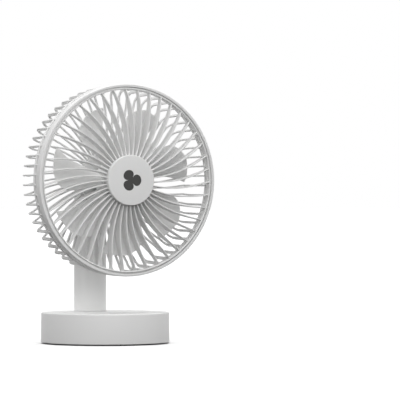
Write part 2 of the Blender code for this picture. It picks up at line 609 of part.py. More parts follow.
# ---- the motor and its housing ---------------------------------------------------------------------
BRACKET_FRONT = -2.2 * MM
BRACKET_RADIUS = REAR_HUB_RADIUS
TUBE_RADIUS = 5.6 * MM            # the bearing tube that the stator sits on
TUBE_FRONT = -21.3 * MM
BEARING_RADIUS = 4.0 * MM
BEARING_WIDTH = 2.9 * MM
SPIGOT_BACK = REAR_HUB[1] - GAP
HOUSING_FRONT = REAR_HUB[1] + GAP
HOUSING_RADIUS = 24.5 * MM
HOUSING_SCREWS = ring_of(3, 17.0 * MM, 90.0)
STATOR = (-18.0 * MM, -8.0 * MM)
POLE_COUNT = 6
POLE_TIP = 12.9 * MM
NECK_HALF = 1.2 * MM
CORE_RADIUS = 8.0 * MM
MAGNET_INNER = 13.4 * MM
ROTOR_RADIUS = 16.4 * MM
ROTOR = (-23.8 * MM, -6.5 * MM)
AXIS_SPOT = (0.0, 0.0, HUB_Z)


def make_bracket(head):
    """The plate behind the impeller, its spigot in the cage's hub and its bearing tube."""
    seat = BEARING_RADIUS + GAP
    shoulder = seat - 1.1 * MM
    front_seat = TUBE_FRONT + BEARING_WIDTH + GAP
    rear_seat = SPIGOT_BACK - BEARING_WIDTH - GAP
    plate_back = REAR_HUB[0] - GAP
    bracket = solid("motor_bracket", turned([
        (seat, TUBE_FRONT), (TUBE_RADIUS, TUBE_FRONT), (TUBE_RADIUS, BRACKET_FRONT),
        (BRACKET_RADIUS, BRACKET_FRONT), (BRACKET_RADIUS, plate_back),
        (REAR_HUB_OPENING - GAP, plate_back), (REAR_HUB_OPENING - GAP, SPIGOT_BACK),
        (seat, SPIGOT_BACK), (seat, rear_seat), (shoulder, rear_seat), (shoulder, front_seat),
        (seat, front_seat)], 30), WHITE_PLASTIC, head, AXIS_SPOT, ALONG_Y)
    combine(bracket, "DIFFERENCE", rods(SCREW_SHANK + GAP, -10.0 * MM, 10.0 * MM, HOUSING_SCREWS, 8))
    for name, front in (("front", TUBE_FRONT), ("rear", rear_seat + GAP)):
        solid(f"bearing_{name}", turned([
            (SHAFT_BORE, front), (BEARING_RADIUS, front), (BEARING_RADIUS, front + BEARING_WIDTH),
            (SHAFT_BORE, front + BEARING_WIDTH)], 16), STEEL, head, AXIS_SPOT, ALONG_Y)
    for number, (x, y) in enumerate(HOUSING_SCREWS, 1):
        screw(f"housing_screw_{number}", head, (x, BRACKET_FRONT - GAP, HUB_Z - y), 13.0 * MM, ALONG_Y)


def make_housing(head):
    """The cover behind the cage, with the lug that hangs the head on the column."""
    housing = solid("motor_housing", turned([
        (0.0, 14.6 * MM), (13.5 * MM, 13.7 * MM), (19.6 * MM, 11.0 * MM), (22.3 * MM, 8.0 * MM),
        (22.3 * MM, HOUSING_FRONT), (HOUSING_RADIUS, HOUSING_FRONT), (HOUSING_RADIUS, 8.0 * MM),
        (21.5 * MM, 12.6 * MM), (15.0 * MM, 15.8 * MM), (0.0, 16.8 * MM)], 30),
        WHITE_PLASTIC, head, AXIS_SPOT, ALONG_Y)
    combine(housing, "UNION", rods(2.8 * MM, HOUSING_FRONT, 13.4 * MM, HOUSING_SCREWS, 10))
    combine(housing, "DIFFERENCE", rods(SCREW_SHANK + GAP, 0.0, 12.0 * MM, HOUSING_SCREWS, 8))
    round_end = arc((-COLUMN_Y, 0.0), LUG_RADIUS, 90.0, 270.0, 10)
    lug = extruded([(-15.0 * MM, LUG_RADIUS)] + round_end + [(-15.0 * MM, -LUG_RADIUS)],
                   -LUG_HALF, LUG_HALF)
    combine(housing, "UNION", aimed(lug, "X", (0.0, 0.0, 0.0)))
    bore = rod(BOLT_RADIUS + GAP, -2 * LUG_HALF, 2 * LUG_HALF, 16)
    combine(housing, "DIFFERENCE", aimed(bore, "X", (0.0, 0.0, COLUMN_Y)))


def make_stator(head):
    """The laminated core, a coil on each pole and the motor's own small board."""
    core_inner = TUBE_RADIUS + GAP
    core = solid("stator_core", turned([
        (core_inner, STATOR[0]), (CORE_RADIUS, STATOR[0]), (CORE_RADIUS, STATOR[1]),
        (core_inner, STATOR[1])], 24), STEEL, head, AXIS_SPOT, ALONG_Y)
    spread = 22.0
    tip_inner = POLE_TIP - 1.7 * MM
    root = CORE_RADIUS - 1.0 * MM
    for k in range(POLE_COUNT):
        middle = 360.0 * k / POLE_COUNT
        tip = arc((0.0, 0.0), POLE_TIP, -spread, spread, 4)
        shoulders = arc((0.0, 0.0), tip_inner, spread, -spread, 1)
        neck = [(tip_inner, NECK_HALF), (root, NECK_HALF), (root, -NECK_HALF), (tip_inner, -NECK_HALF)]
        pole = extruded(tip + shoulders[:1] + neck + shoulders[1:], *STATOR)
        turn = Matrix.Rotation(math.radians(middle), 3, "Z")
        bmesh.ops.rotate(pole, cent=(0.0, 0.0, 0.0), matrix=turn, verts=pole.verts)
        combine(core, "UNION", pole)
        make_coil(head, k, math.radians(middle))
    board_back = BRACKET_FRONT - 1.2 * MM
    solid("motor_board", turned([
        (core_inner, board_back - BOARD_THICKNESS), (13.8 * MM, board_back - BOARD_THICKNESS),
        (13.8 * MM, board_back), (core_inner, board_back)], 20), CIRCUIT_GREEN, head,
        AXIS_SPOT, ALONG_Y)


def make_coil(head, index, angle):
    """A winding: a rectangular loop round one pole's neck."""
    reach = (8.4 * MM, 10.3 * MM)
    build = 1.3 * MM
    inner = (NECK_HALF + GAP, (STATOR[1] - STATOR[0]) / 2 + GAP)
    outer = (inner[0] + build, inner[1] + build)
    middle = (STATOR[0] + STATOR[1]) / 2
    corners = ((-1, -1), (1, -1), (1, 1), (-1, 1))
    bm = bmesh.new()
    loops = [[bm.verts.new((radius, cx * half[0], middle + cy * half[1])) for cx, cy in corners]
             for radius, half in ((reach[0], inner), (reach[0], outer), (reach[1], outer),
                                  (reach[1], inner))]
    for near, far in zip(loops, loops[1:] + loops[:1]):
        for k in range(4):
            n = (k + 1) % 4
            bm.faces.new((near[k], near[n], far[n], far[k]))
    turn = Matrix.Rotation(angle, 3, "Z")
    bmesh.ops.rotate(bm, cent=(0.0, 0.0, 0.0), matrix=turn, verts=bm.verts)
    solid(f"winding_{index + 1}", bm, COPPER, head, AXIS_SPOT, ALONG_Y)


# ---- what spins ----------------------------------------------------------------------------------------
IMPELLER_HUB = 21.0 * MM
IMPELLER = (-45.0 * MM, -22.5 * MM)
BLADE_THICKNESS = 1.6 * MM


def blade_edges(radius):
    """Angles of a blade's trailing and leading edge at a radius.

    The trailing edge is nearer the front. It turns into the tip through a long round corner,
    and the leading edge curves a little forwards towards the tip.
    """
    corner = max(0.0, (radius - 50.0 * MM) / (BLADE_TIP - 50.0 * MM))
    curl = max(0.0, (radius - 45.0 * MM) / (BLADE_TIP - 45.0 * MM))
    return math.radians(15.0 + 18.0 * corner ** 3), math.radians(46.5 + 6.0 * curl ** 1.5)


def add_blade(bm, turn):
    """A wide, cambered blade whose root is buried in the hub's wall."""
    rows, columns = 6, 5
    root = IMPELLER_HUB - 1.0 * MM
    sheets = []
    for side in (-1, 1):
        sheet = []
        for i in range(rows):
            share = 1.0 - (1.0 - i / (rows - 1)) ** 1.6
            radius = root + share * (BLADE_TIP - root)
            trailing, leading = blade_edges(radius)
            half_axial = 8.5 * MM - 3.7 * MM * share
            row = []
            for j in range(columns):
                across = 2.0 * j / (columns - 1) - 1.0
                angle = turn + trailing + (leading - trailing) * (across + 1.0) / 2.0
                height = (BLADE_MIDDLE + half_axial * (across + 0.18 * (across ** 2 - 1.0))
                          + side * BLADE_THICKNESS / 2)
                reach = radius - 1.5 * MM * share * max(0.0, across) ** 4
                row.append(bm.verts.new((reach * math.cos(angle), reach * math.sin(angle), height)))
            sheet.append(row)
        sheets.append(sheet)
    for sheet in sheets:
        for i in range(rows - 1):
            for j in range(columns - 1):
                bm.faces.new((sheet[i][j], sheet[i][j + 1], sheet[i + 1][j + 1], sheet[i + 1][j]))
    border = ([(0, j) for j in range(columns)] + [(i, columns - 1) for i in range(1, rows)]
              + [(rows - 1, j) for j in range(columns - 2, -1, -1)]
              + [(i, 0) for i in range(rows - 2, 0, -1)])
    for (a, b), (c, d) in zip(border, border[1:] + border[:1]):
        bm.faces.new((sheets[0][a][b], sheets[0][c][d], sheets[1][c][d], sheets[1][a][b]))


def make_rotor(fan_axis):
    front, back = IMPELLER
    wall_inner = IMPELLER_HUB - 1.8 * MM
    plate_back = front + WALL
    boss_back = ROTOR[0] - 2.2 * MM
    boss = 4.5 * MM
    impeller = solid("impeller", turned([
        (SHAFT_BORE, front), (IMPELLER_HUB - 1.5 * MM, front), (IMPELLER_HUB, front + 1.5 * MM),
        (IMPELLER_HUB, back), (wall_inner, back), (wall_inner, plate_back), (boss, plate_back),
        (boss, boss_back), (SHAFT_BORE, boss_back)], 28), WHITE_PLASTIC, fan_axis, AXIS_SPOT, ALONG_Y)
    blades = bmesh.new()
    for k in range(BLADE_COUNT):
        add_blade(blades, TURN * k / BLADE_COUNT)
    combine(impeller, "UNION", blades)

    solid("motor_shaft", rod(SHAFT_RADIUS, front - 2.7 * MM, 5.4 * MM, 12), STEEL, fan_axis,
          AXIS_SPOT, ALONG_Y)
    nut_back = front - GAP
    hex_nut("impeller_nut", fan_axis, AXIS_SPOT, ALONG_Y, nut_back - 2.4 * MM, nut_back, SHAFT_BORE)
    clip_front = SPIGOT_BACK + GAP
    solid("shaft_clip", turned([
        (SHAFT_BORE, clip_front), (3.2 * MM, clip_front), (3.2 * MM, clip_front + 0.8 * MM),
        (SHAFT_BORE, clip_front + 0.8 * MM)], 12), STEEL, fan_axis, AXIS_SPOT, ALONG_Y)
    sheet = 1.0 * MM
    solid("rotor_cup", turned([
        (SHAFT_BORE, ROTOR[0]), (ROTOR_RADIUS, ROTOR[0]), (ROTOR_RADIUS, ROTOR[1]),
        (ROTOR_RADIUS - sheet, ROTOR[1]), (ROTOR_RADIUS - sheet, ROTOR[0] + sheet),
        (SHAFT_BORE, ROTOR[0] + sheet)], 24), STEEL, fan_axis, AXIS_SPOT, ALONG_Y)
    magnet_outer = ROTOR_RADIUS - sheet - GAP
    magnet_front = ROTOR[0] + sheet + 1.2 * MM
    solid("rotor_magnet", turned([
        (MAGNET_INNER, magnet_front), (magnet_outer, magnet_front), (magnet_outer, ROTOR[1] - GAP),
        (MAGNET_INNER, ROTOR[1] - GAP)], 24), MAGNET, fan_axis, AXIS_SPOT, ALONG_Y)


def main():
    for obj in list(bpy.data.objects):
        bpy.data.objects.remove(obj)
    stand = empty("stand", (0.0, 0.0, 0.0))
    head = empty("head", (0.0, COLUMN_Y, HUB_Z), stand)
    fan_axis = empty("fan_axis", (0.0, BLADE_MIDDLE, HUB_Z), head)
    button = empty("button", (0.0, BUTTON_Y, BASE_TOP), stand)

    make_base(stand)
    make_power(stand)
    make_button(button)
    make_column(stand)
    make_tilt_hardware(stand, head)
    make_cable(stand)
    make_rear_grille(head)
    make_front_grille(head)
    make_bracket(head)
    make_housing(head)
    make_stator(head)
    make_rotor(fan_axis)


main()
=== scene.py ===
"""Looks for the compact desk fan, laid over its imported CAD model.

Everything is in metres in the CAD's frame: +Z is up and the fan blows towards -Y. Pieces that
show are rebuilt finer than the CAD, in the same places, and ride on the CAD's bodies.
"""
import json
import math

import bmesh
import bpy
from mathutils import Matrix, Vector


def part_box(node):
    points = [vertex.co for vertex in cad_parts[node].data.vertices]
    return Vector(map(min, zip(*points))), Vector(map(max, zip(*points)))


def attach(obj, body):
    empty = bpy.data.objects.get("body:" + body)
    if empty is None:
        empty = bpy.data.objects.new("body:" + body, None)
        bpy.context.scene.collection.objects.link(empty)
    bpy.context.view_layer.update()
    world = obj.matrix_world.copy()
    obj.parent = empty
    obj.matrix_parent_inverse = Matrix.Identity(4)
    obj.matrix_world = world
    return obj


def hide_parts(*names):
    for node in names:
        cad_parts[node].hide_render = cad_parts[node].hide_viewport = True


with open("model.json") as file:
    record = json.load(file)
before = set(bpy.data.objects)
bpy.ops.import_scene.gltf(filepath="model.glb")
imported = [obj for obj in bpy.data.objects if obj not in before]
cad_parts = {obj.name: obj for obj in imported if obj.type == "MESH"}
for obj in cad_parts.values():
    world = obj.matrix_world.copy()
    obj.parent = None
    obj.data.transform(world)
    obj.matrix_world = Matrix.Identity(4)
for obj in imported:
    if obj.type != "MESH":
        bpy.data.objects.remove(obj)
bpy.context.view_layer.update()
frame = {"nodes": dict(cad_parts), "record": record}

MM = 0.001
TURN = 2.0 * math.pi


# ---- places read from the CAD ------------------------------------------------------------------
def middle_of(node):
    low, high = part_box(node)
    return (low + high) / 2.0


HUB_Z = middle_of("motor_shaft").z
COLUMN_Y = middle_of("column").y
COLUMN_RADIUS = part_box("column")[1].x
BASE_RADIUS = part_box("base_shell")[1].x
BASE_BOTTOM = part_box("base_shell")[0].z
BASE_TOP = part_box("base_shell")[1].z
BUTTON_Y = middle_of("power_button").y
LENS_Y = middle_of("indicator_lens").y
SOCKET = middle_of("usb_socket")
RING_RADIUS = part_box("rear_grille")[1].x
RING_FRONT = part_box("rear_grille")[0].y
CAP_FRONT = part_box("hub_cap")[0].y
CAP_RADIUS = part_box("hub_cap")[1].x

# ---- sizes that follow the CAD -------------------------------------------------------------------
GAP = 0.3 * MM
WALL = 2.0 * MM
SHARP = math.radians(35.0)        # edges steeper than this stay sharp in the shading
SCREW_HOLE = 1.5 * MM
SCREW_BOSS = 3.2 * MM

BASE_DRAFT = 0.45 * MM            # how much the base narrows towards its top
BASE_BOSS_BOTTOM = 4.6 * MM
BASE_SCREW_END = 15.0 * MM
BUTTON_RADIUS = 8.0 * MM
BUTTON_STEM = 1.5 * MM
BUTTON_COLLAR = (27.0 * MM, 28.2 * MM)
DISH_DEPTH = 0.45 * MM
LENS_RADIUS = 1.3 * MM
SOCKET_MOUTH = (5.0 * MM, 2.2 * MM, 1.6 * MM)     # half width, half height, corner
SOCKET_CUT = (55.0 * MM, 70.0 * MM)               # from inside the shell's wall to outside it

RIB_COUNT = 60
RIB_PHASE = math.radians(3.0)
RIB_DEPTH = 3.6 * MM
RIB_HALF = 0.75 * MM
RIM_DEPTH = 8.6 * MM
ELBOW_Y = -11.8 * MM
ELBOW_RADIUS = 8.0 * MM
ELBOW_OUTER = 91.6 * MM
ELBOW_TURN = math.radians(80.0)
REAR_SWEEP = math.radians(9.0)
HOOP_Y = (-41.2 * MM, -38.8 * MM)
REAR_STEPS = 7                    # from the elbow to the hub
REAR_HUB_RADIUS = 27.0 * MM
REAR_HUB_OPENING = 20.4 * MM
REAR_HUB = (1.0 * MM, 4.6 * MM)

VANE_COUNT = 43
VANE_PHASE = math.radians(26.0)
VANE_SWEEP = math.radians(10.4)
VANE_HALF = 0.6 * MM
VANE_STEPS = 34
VANE_DEPTH = 11.0 * MM            # 1.7 mm deeper at the back than the CAD's
VANE_TIP = 6.0 * MM               # 2.8 mm deeper
TAPER_START = 0.55
RING_INNER = 87.6 * MM
RING_OUTER = 90.0 * MM
STEP_RADIUS = 88.8 * MM
STEP_DEPTH = 2.6 * MM
FRONT_RING = (-54.3 * MM, -47.2 * MM)
RING_LIP = 0.5 * MM
FRONT_HUB_RADIUS = 22.9 * MM
FRONT_HUB = (-56.9 * MM, -47.6 * MM)
CAP_STEM = 5.6 * MM
EMBLEM_RADIUS = 10.6 * MM
EMBLEM_RECESS = 0.8 * MM

IMPELLER_HUB = 21.0 * MM
IMPELLER = (-45.0 * MM, -22.5 * MM)
ROTOR_FRONT = -23.8 * MM
BLADE_COUNT = 7
BLADE_TIP = 73.0 * MM
BLADE_MIDDLE = -34.5 * MM
BLADE_THICKNESS = 1.6 * MM
BLADE_REACH = 8.5 * MM            # half of a blade's depth at its root
REACH_LOSS = 3.7 * MM             # how much of that is gone at the tip
BLADE_CAMBER = 0.18
TIP_TRIM = 1.5 * MM               # how much shorter the rear corner of the tip is
CORNER_START = 50.0 * MM
CURL_START = 45.0 * MM
TRAILING = (15.0, 18.0)           # degrees: angle at the root, and what the tip adds
LEADING = (46.5, 6.0)
SHAFT_BORE = 1.8 * MM

DOME_RISE = 3.5 * MM
SLOT_HALF = 6.4 * MM
SLOT_FLOOR = 146.0 * MM
SLOT_REACH = 11.0 * MM
CABLE_HOLE = 5.0 * MM
CAVITY = (40.0 * MM, 142.0 * MM)
COLUMN_WALL = 2.4 * MM
COLUMN_SCREW_DEPTH = 7.0 * MM
CAP_SEAT = 4.7 * MM
CAP_SEAT_FLOOR = 11.0 * MM        # how far from the middle the plugs' seats start
LUG_RADIUS = 9.5 * MM
LUG_HALF = 4.6 * MM
LUG_ROOT = 15.0 * MM
BOLT_HOLE = 2.5 * MM

BEARING_SEAT = 4.3 * MM
BEARING_WIDTH = 3.2 * MM
BEARING_SHOULDER = 3.2 * MM
BRACKET_TUBE = 5.6 * MM
BRACKET_FRONT = -2.2 * MM
HOUSING_BOSS = 2.8 * MM
HOUSING_BOSS_END = 13.4 * MM
HOUSING_SCREW_END = 12.0 * MM


# ---- materials -------------------------------------------------------------------------------------
ROUGHNESS_SPREAD = 0.06


def add_node(tree, kind, **inputs):
    """A shader node with some of its inputs set, by name."""
    node = tree.nodes.new(kind)
    for name, value in inputs.items():
        node.inputs[name.replace("_", " ")].default_value = value
    return node


def surface(name, colour, roughness, metallic=0.0, mottle=0.03, grain=1600.0, relief=0.05,
            stretch=(1.0, 1.0, 1.0), specular=0.5, coat=0.0):
    """A moulded or machined finish: fine grain, and colour and roughness that wander a little.

    mottle is how far the colour wanders, grain the number of bumps in a metre, relief their strength.
    """
    material = bpy.data.materials.new(name)
    material.use_nodes = True
    tree = material.node_tree
    shader = tree.nodes["Principled BSDF"]
    shader.inputs["Metallic"].default_value = metallic
    shader.inputs["Specular IOR Level"].default_value = specular
    shader.inputs["Coat Weight"].default_value = coat

    where = tree.nodes.new("ShaderNodeTexCoord")
    mapping = add_node(tree, "ShaderNodeMapping", Scale=stretch)
    tree.links.new(where.outputs["Object"], mapping.inputs["Vector"])

    broad = add_node(tree, "ShaderNodeTexNoise", Scale=22.0, Detail=3.0)
    fine = add_node(tree, "ShaderNodeTexNoise", Scale=grain, Detail=2.0)
    tree.links.new(where.outputs["Object"], broad.inputs["Vector"])
    tree.links.new(mapping.outputs["Vector"], fine.inputs["Vector"])

    tint = tree.nodes.new("ShaderNodeMix")
    tint.data_type = "RGBA"
    tint.inputs["A"].default_value = (*[c * (1.0 - mottle) for c in colour], 1.0)
    tint.inputs["B"].default_value = (*[min(1.0, c * (1.0 + mottle)) for c in colour], 1.0)
    tree.links.new(broad.outputs["Fac"], tint.inputs["Factor"])
    tree.links.new(tint.outputs["Result"], shader.inputs["Base Color"])

    gloss = add_node(tree, "ShaderNodeMapRange", To_Min=roughness - ROUGHNESS_SPREAD,
                     To_Max=roughness + ROUGHNESS_SPREAD)
    tree.links.new(fine.outputs["Fac"], gloss.inputs["Value"])
    tree.links.new(gloss.outputs["Result"], shader.inputs["Roughness"])

    bump = add_node(tree, "ShaderNodeBump", Strength=relief, Distance=0.1 * MM)
    tree.links.new(fine.outputs["Fac"], bump.inputs["Height"])
    tree.links.new(bump.outputs["Normal"], shader.inputs["Normal"])
    return material


def banded(material, scale, strength, direction="X"):
    """Adds fine parallel ridges to a finish: turns of wire, or tracks on a board."""
    tree = material.node_tree
    where = tree.nodes.new("ShaderNodeTexCoord")
    wave = add_node(tree, "ShaderNodeTexWave", Scale=scale, Distortion=0.4)
    wave.bands_direction = direction
    tree.links.new(where.outputs["Object"], wave.inputs["Vector"])
    bump = next(node for node in tree.nodes if node.bl_idname == "ShaderNodeBump")
    bump.inputs["Strength"].default_value = strength
    tree.links.new(wave.outputs["Fac"], bump.inputs["Height"])
    return material


WHITE = surface("white_plastic", (0.86, 0.86, 0.855), 0.46, mottle=0.012, specular=0.4)
# The blades are the same white plastic as the cage, painted lighter: painted light that stands in for light
# shining through and between the vanes onto them.
BLADE_PAINTED_LIGHT = surface("blade_plastic_painted_light", (0.93, 0.93, 0.925), 0.50, mottle=0.015, specular=0.35)
DARK = surface("dark_plastic", (0.030, 0.030, 0.028), 0.38, mottle=0.10)
FINISHES = {
    "white_plastic": WHITE,
    "grey_plastic": surface("grey_plastic", (0.42, 0.43, 0.44), 0.50),
    "dark_plastic": DARK,
    "clear_lens": surface("clear_lens", (0.75, 0.82, 0.86), 0.22, mottle=0.02, coat=0.5),
    "foot_rubber": surface("foot_rubber", (0.020, 0.020, 0.020), 0.86, mottle=0.15, relief=0.20,
                           specular=0.25),
    "steel": surface("steel", (0.60, 0.60, 0.61), 0.32, metallic=1.0, grain=900.0,
                     stretch=(1.0, 8.0, 1.0)),
    "magnet": surface("magnet", (0.12, 0.12, 0.13), 0.55, metallic=0.3, relief=0.15),
    "copper_wire": banded(surface("copper_wire", (0.72, 0.33, 0.16), 0.35, metallic=1.0),
                          900.0, 0.6, "Y"),
    "circuit_board": banded(surface("circuit_board", (0.02, 0.20, 0.09), 0.42, mottle=0.25, coat=0.3),
                            120.0, 0.12),
    "cell_wrap": surface("cell_wrap", (0.08, 0.20, 0.52), 0.30, mottle=0.06, coat=0.3),
}


def dress_cad():
    """Gives every CAD node the finish of its material slot."""
    slots = {part["node"]: part["material_slot"] for part in frame["record"]["subparts"]}
    for name, obj in frame["nodes"].items():
        for slot in obj.material_slots:
            slot.material = FINISHES[slots[name]]


# ---- building blocks ---------------------------------------------------------------------------------
def round_fan(radius, angle, depth):
    """A point round the fan's axis. Angles run clockwise seen from the front, starting at +X."""
    return Vector((radius * math.cos(angle), depth, HUB_Z - radius * math.sin(angle)))


def round_tilt(radius, angle, side):
    """A point round the tilt axis."""
    return Vector((side, COLUMN_Y + radius * math.cos(angle), HUB_Z + radius * math.sin(angle)))


def upright(x, y):
    """Points round a vertical line through (x, y)."""
    return lambda radius, angle, height: Vector((x + radius * math.cos(angle),
                                                 y + radius * math.sin(angle), height))


def along_fan(x, z):
    """Points round a line through (x, z) that runs along the fan's axis."""
    return lambda radius, angle, depth: Vector((x + radius * math.cos(angle), depth,
                                                z + radius * math.sin(angle)))


def filleted(corners, closed=False, steps=5):
    """A (radius, height) outline from corners (radius, height, fillet), with those fillets rounded."""
    outline = []
    count = len(corners)
    for index, (radius, height, fillet) in enumerate(corners):
        here = Vector((radius, height))
        if fillet == 0.0 or (not closed and index in (0, count - 1)):
            outline.append(here)
            continue
        back = (Vector(corners[index - 1][:2]) - here).normalized()
        ahead = (Vector(corners[(index + 1) % count][:2]) - here).normalized()
        half = back.angle(ahead) / 2.0
        reach = fillet / math.tan(half)
        centre = here + (back + ahead).normalized() * fillet / math.sin(half)
        first, last = here + back * reach - centre, here + ahead * reach - centre
        for step in range(steps + 1):
            spoke = first.lerp(last, step / steps)
            outline.append(centre + spoke.normalized() * fillet)
    return [tuple(point) for point in outline]


def lathe(bm, outline, at, segments):
    """Turns an outline of (radius, height) points. It is a closed loop unless it starts on the axis."""
    rings = []
    for radius, height in outline:
        if radius == 0.0:
            rings.append([bm.verts.new(at(0.0, 0.0, height))] * segments)
        else:
            angles = [TURN * k / segments for k in range(segments)]
            rings.append([bm.verts.new(at(radius, angle, height)) for angle in angles])
    pairs = list(zip(rings, rings[1:]))
    if outline[0][0] > 0.0:
        pairs.append((rings[-1], rings[0]))
    for low, high in pairs:
        for k in range(segments):
            n = (k + 1) % segments
            corners = dict.fromkeys((low[k], low[n], high[n], high[k]))
            bm.faces.new(list(corners))
    return bm


def rod(radius, low, high, at, segments=48):
    """A plain round bar, for cutting and joining."""
    return lathe(bmesh.new(), [(0.0, low), (radius, low), (radius, high), (0.0, high)], at, segments)


def skin(bm, loops):
    """Joins a row of equal loops of points into one closed bar."""
    rows = [[bm.verts.new(point) for point in loop] for loop in loops]
    for near, far in zip(rows, rows[1:]):
        for k in range(len(near)):
            n = (k + 1) % len(near)
            bm.faces.new((near[k], near[n], far[n], far[k]))
    bm.faces.new(rows[0][::-1])
    bm.faces.new(rows[-1])


def soft_box(half_u, half_v, corner, steps=2):
    """The (u, v) points of a rectangle with round corners."""
    corners = [(-half_u, -half_v, corner), (half_u, -half_v, corner), (half_u, half_v, corner),
               (-half_u, half_v, corner)]
    return filleted(corners, closed=True, steps=steps)


def prism(outline, low, high, at):
    """A bar with any outline of flat points; at() puts a flat point at a height."""
    bm = bmesh.new()
    skin(bm, [[at(u, v, height) for u, v in outline] for height in (low, high)])
    return bm


def block(low, high):
    """A box between two corners."""
    outline = [(low[0], low[1]), (high[0], low[1]), (high[0], high[1]), (low[0], high[1])]
    return prism(outline, low[2], high[2], lambda x, y, z: Vector((x, y, z)))


def piece(name, bm, body, nodes, material):
    """Makes a finished object that stands for some CAD nodes and rides on a body."""
    bmesh.ops.recalc_face_normals(bm, faces=bm.faces)
    mesh = bpy.data.meshes.new(name)
    bm.to_mesh(mesh)
    bm.free()
    mesh.materials.append(material)
    obj = bpy.data.objects.new(name, mesh)
    bpy.context.scene.collection.objects.link(obj)
    smooth(mesh)
    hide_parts(*nodes)
    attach(obj, body)
    return obj


def smooth(mesh):
    mesh.shade_smooth()
    mesh.set_sharp_from_angle(angle=SHARP)


def carve(obj, steps, edge=0.0):
    """Applies Booleans in order, then rounds the sharp edges by a small width."""
    helpers = []
    for operation, bm in steps:
        bmesh.ops.recalc_face_normals(bm, faces=bm.faces)
        mesh = bpy.data.meshes.new("helper")
        bm.to_mesh(mesh)
        bm.free()
        helper = bpy.data.objects.new("helper", mesh)
        bpy.context.scene.collection.objects.link(helper)
        helpers.append(helper)
        modifier = obj.modifiers.new("cut", "BOOLEAN")
        modifier.operation = operation
        modifier.solver = "EXACT"
        modifier.object = helper
    if edge > 0.0:
        bevel = obj.modifiers.new("edge", "BEVEL")
        bevel.width = edge
        bevel.segments = 2
        bevel.limit_method = "ANGLE"
        bevel.angle_limit = SHARP
    bpy.context.view_layer.update()
    depsgraph = bpy.context.evaluated_depsgraph_get()
    shaped = bpy.data.meshes.new_from_object(obj.evaluated_get(depsgraph))
    obj.modifiers.clear()
    obj.data = shaped
    smooth(shaped)
    for helper in helpers:
        bpy.data.objects.remove(helper)


# ---- the stand -----------------------------------------------------------------------------------------
def make_base():
    """The base's shell, with screw bosses inside and openings for the button, light, lead and socket."""
    top_radius = BASE_RADIUS - BASE_DRAFT
    inner = top_radius - WALL
    ceiling = BASE_TOP - WALL
    outline = filleted([
        (0.0, ceiling, 0.0), (inner, ceiling, 1.2 * MM), (inner, BASE_BOTTOM, 0.0),
        (BASE_RADIUS, BASE_BOTTOM, 0.4 * MM), (top_radius, BASE_TOP, 1.1 * MM), (0.0, BASE_TOP, 0.0)])
    base = piece("base_cover", lathe(bmesh.new(), outline, upright(0.0, 0.0), 160), "stand",
                 ["base_shell"], WHITE)
    below, above = ceiling - WALL, BASE_TOP + WALL
    steps = []
    for number in range(1, 5):
        spot = middle_of(f"base_screw_{number}")
        at = upright(spot.x, spot.y)
        steps.append(("UNION", rod(SCREW_BOSS, BASE_BOSS_BOTTOM, BASE_TOP - WALL / 2, at, 24)))
        steps.append(("DIFFERENCE", rod(SCREW_HOLE, 0.0, BASE_SCREW_END, at, 16)))
    holes = [(BUTTON_RADIUS + GAP, 0.0, BUTTON_Y), (LENS_RADIUS + GAP, 0.0, LENS_Y),
             (CABLE_HOLE, 0.0, COLUMN_Y)]
    for number in range(1, 4):
        spot = middle_of(f"column_screw_{number}")
        holes.append((SCREW_HOLE, spot.x, spot.y))
    for radius, x, y in holes:
        steps.append(("DIFFERENCE", rod(radius, below, above, upright(x, y))))
    mouth = soft_box(*SOCKET_MOUTH, steps=6)
    steps.append(("DIFFERENCE", prism(mouth, *SOCKET_CUT, lambda u, v, y: Vector((u, y, SOCKET.z + v)))))
    carve(base, steps, edge=0.18 * MM)


def make_feet():
    """Three round rubber pads."""
    for name in ("foot_front", "foot_rear_left", "foot_rear_right"):
        low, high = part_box(name)
        radius = (high.x - low.x) / 2.0
        spot = middle_of(name)
        outline = filleted([(0.0, low.z, 0.0), (radius, low.z, 0.4 * MM), (radius, high.z, 0.0),
                            (0.0, high.z, 0.0)])
        piece(name + "_pad", lathe(bmesh.new(), outline, upright(spot.x, spot.y), 48), "stand",
              [name], FINISHES["foot_rubber"])


def make_button():
    """The power button with a shallow dish for the fingertip."""
    low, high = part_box("power_button")
    collar = high.x
    radius = collar - 1.5 * MM
    dish_radius = radius - 1.0 * MM
    dish = [(dish_radius * share, high.z - DISH_DEPTH * (1.0 - share ** 2))
            for share in (0.85, 0.7, 0.55, 0.4, 0.2, 0.0)]
    outline = filleted([
        (0.0, low.z, 0.0), (BUTTON_STEM, low.z, 0.0), (BUTTON_STEM, BUTTON_COLLAR[0], 0.0),
        (collar, BUTTON_COLLAR[0], 0.0), (collar, BUTTON_COLLAR[1], 0.0), (radius, BUTTON_COLLAR[1], 0.0),
        (radius, high.z, 0.35 * MM), (dish_radius, high.z, 0.0)]) + dish
    piece("power_button_cap", lathe(bmesh.new(), outline, upright(0.0, BUTTON_Y), 72), "button",
          ["power_button"], WHITE)


